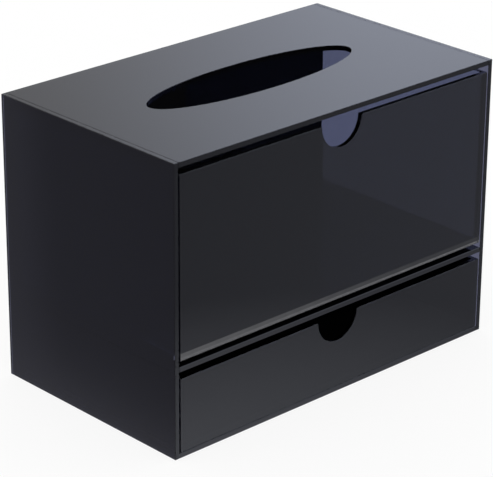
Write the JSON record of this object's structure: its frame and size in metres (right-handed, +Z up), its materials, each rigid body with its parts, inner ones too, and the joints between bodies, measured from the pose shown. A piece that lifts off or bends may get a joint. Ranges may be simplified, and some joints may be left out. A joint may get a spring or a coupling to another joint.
{
  "type": "tissue box with drawer",
  "caption": "Smoked acrylic tissue box: oval dispensing slot on top, a pull-out tissue tray behind a see-through front and a shallow drawer below.",
  "frame": {"origin": "middle of the underside of the box", "axes": "+X along the width, the drawers' fronts face -Y, +Z up"},
  "size_m": [0.24, 0.14, 0.168],
  "materials": {
    "light_smoked_acrylic": "polished, lightly smoked acrylic sheet, nearly clear",
    "smoked_acrylic": "polished smoked acrylic sheet, lavender against the light",
    "dark_smoked_acrylic": "polished dark smoked acrylic sheet, dimly see-through",
    "black_acrylic": "polished black acrylic sheet"
  },
  "bodies": {
    "casing": {"left_side_panel": "smoked_acrylic", "right_side_panel": "smoked_acrylic", "top_panel": "dark_smoked_acrylic", "back_panel": "black_acrylic", "base_panel": "black_acrylic", "middle_shelf": "black_acrylic"},
    "tissue_tray": {"tray_front": "dark_smoked_acrylic", "tray_left_side": "light_smoked_acrylic", "tray_right_side": "light_smoked_acrylic", "tray_back": "black_acrylic", "tray_floor": "black_acrylic", "tray_left_runner": "black_acrylic", "tray_right_runner": "black_acrylic"},
    "lower_drawer": {"drawer_front": "dark_smoked_acrylic", "drawer_left_side": "black_acrylic", "drawer_right_side": "black_acrylic", "drawer_back": "black_acrylic", "drawer_floor": "black_acrylic"}
  },
  "joints": [
    {"name": "tray_slide", "type": "slide", "parent": "casing", "child": "tissue_tray", "axis": [0, -1, 0], "range_m": [0, 0.11]},
    {"name": "drawer_slide", "type": "slide", "parent": "casing", "child": "lower_drawer", "axis": [0, -1, 0], "range_m": [0, 0.11]}
  ]
}
